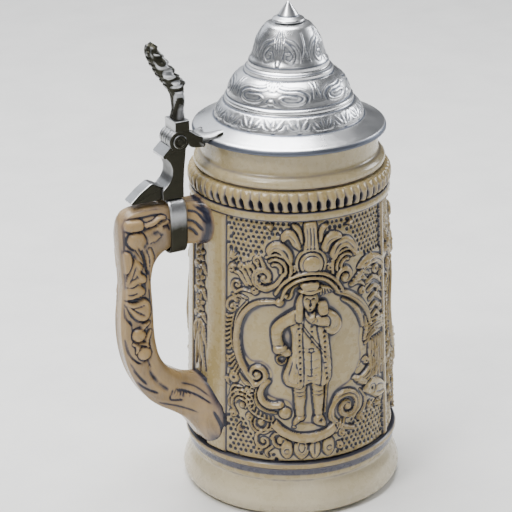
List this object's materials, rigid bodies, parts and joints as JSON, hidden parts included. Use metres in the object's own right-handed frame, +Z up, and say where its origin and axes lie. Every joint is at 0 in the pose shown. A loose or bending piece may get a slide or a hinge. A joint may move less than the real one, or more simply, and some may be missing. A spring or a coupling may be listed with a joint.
{
  "type": "beer stein",
  "caption": "Tall tapered ceramic drinking mug with a side handle, relief ornament and a hinged pewter lid opened by a thumblift.",
  "frame": {"origin": "centre of the whole stein's footprint at the height of the foot", "axes": "+Z up along the mug; the handle and its hinge point towards -X, and the hinge pin runs along Y; the mug's own axis is at x = +16.75 mm"},
  "size_m": [0.1306, 0.097, 0.2168],
  "materials": {
    "glazed_stoneware": "gloss",
    "glazed_handle": "gloss",
    "bright_pewter": "satin",
    "aged_pewter": "satin",
    "pin_steel": "satin"
  },
  "bodies": {
    "mug": {"stein_body": "glazed_stoneware", "handle": "glazed_handle", "handle_strap": "aged_pewter", "hinge_post": "aged_pewter", "hinge_pin": "pin_steel", "pin_cap_front": "aged_pewter", "pin_cap_back": "aged_pewter"},
    "lid": {"lid_rim": "bright_pewter", "lid_dome": "bright_pewter", "finial": "bright_pewter", "lid_shank": "aged_pewter", "thumblift": "aged_pewter"}
  },
  "joints": [
    {"name": "lid_hinge", "type": "hinge", "parent": "mug", "child": "lid", "pos_m": [-0.03675, 0, 0.1656], "axis": [0, -1, 0], "range_deg": [0, 107]}
  ]
}
